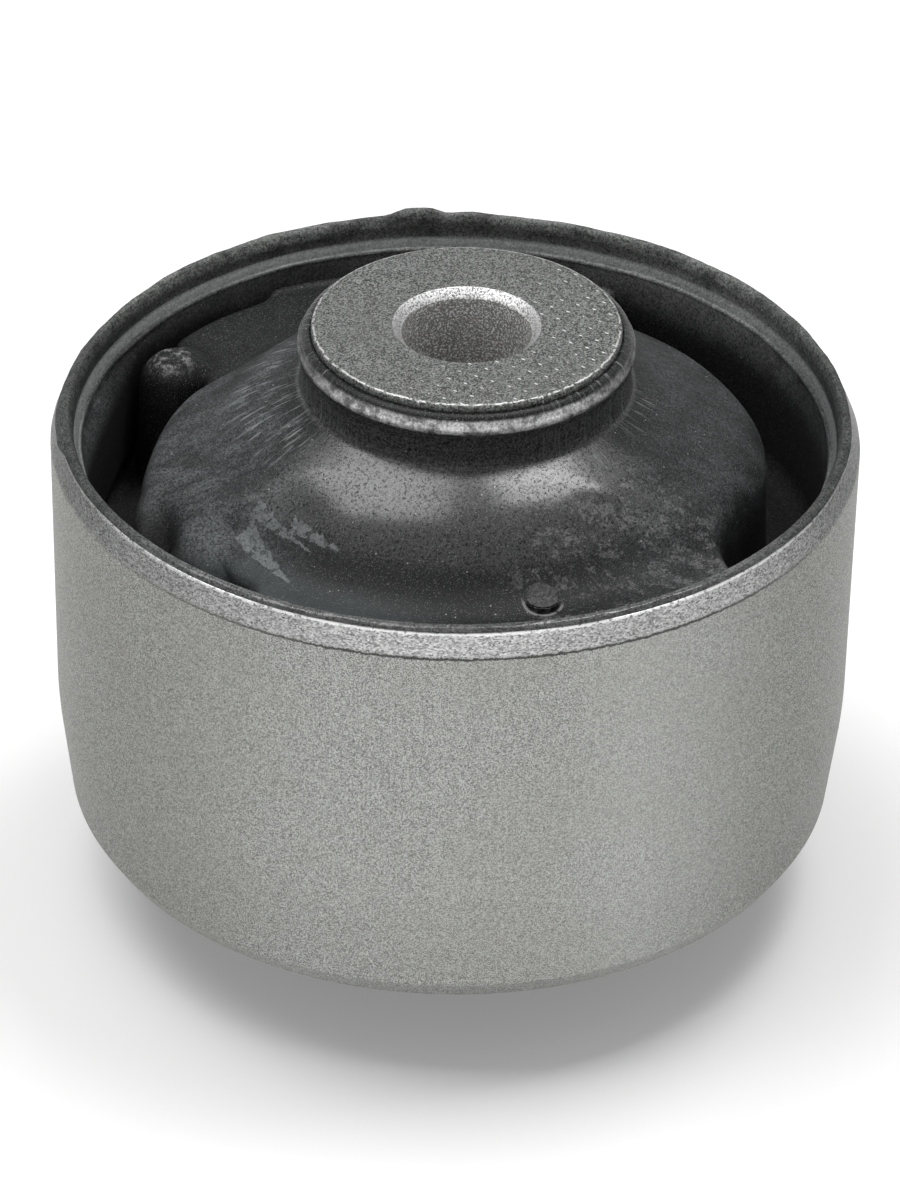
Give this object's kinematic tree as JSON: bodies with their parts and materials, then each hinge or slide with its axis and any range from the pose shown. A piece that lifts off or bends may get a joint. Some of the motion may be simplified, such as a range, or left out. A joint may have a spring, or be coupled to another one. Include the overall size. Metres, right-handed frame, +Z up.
{
  "type": "rubber-metal suspension bush",
  "caption": "Press-in rubber-metal bush: thin steel outer sleeve, bored inner core and a moulded rubber body bonded between them, with a bell-shaped neck and side pockets.",
  "frame": {"origin": "on the outer sleeve's axis, in the plane of the inner core's lower face, which is what the part stands on", "axes": "+Z up along the sleeve's axis, parallel to the bore; +X towards the side that the inner core is set off to"},
  "size_m": [0.078, 0.078, 0.062],
  "materials": {
    "sleeve_steel": "blasted and phosphated, matte grey with a fine grain",
    "moulded_rubber": "moulded natural rubber, satin black with a pale bloom",
    "core_metal": "blasted, matte grey, end face with fine serration marks"
  },
  "bodies": {
    "root": {"outer_sleeve": "sleeve_steel", "rubber_body": "moulded_rubber", "inner_core": "core_metal"}
  },
  "joints": []
}
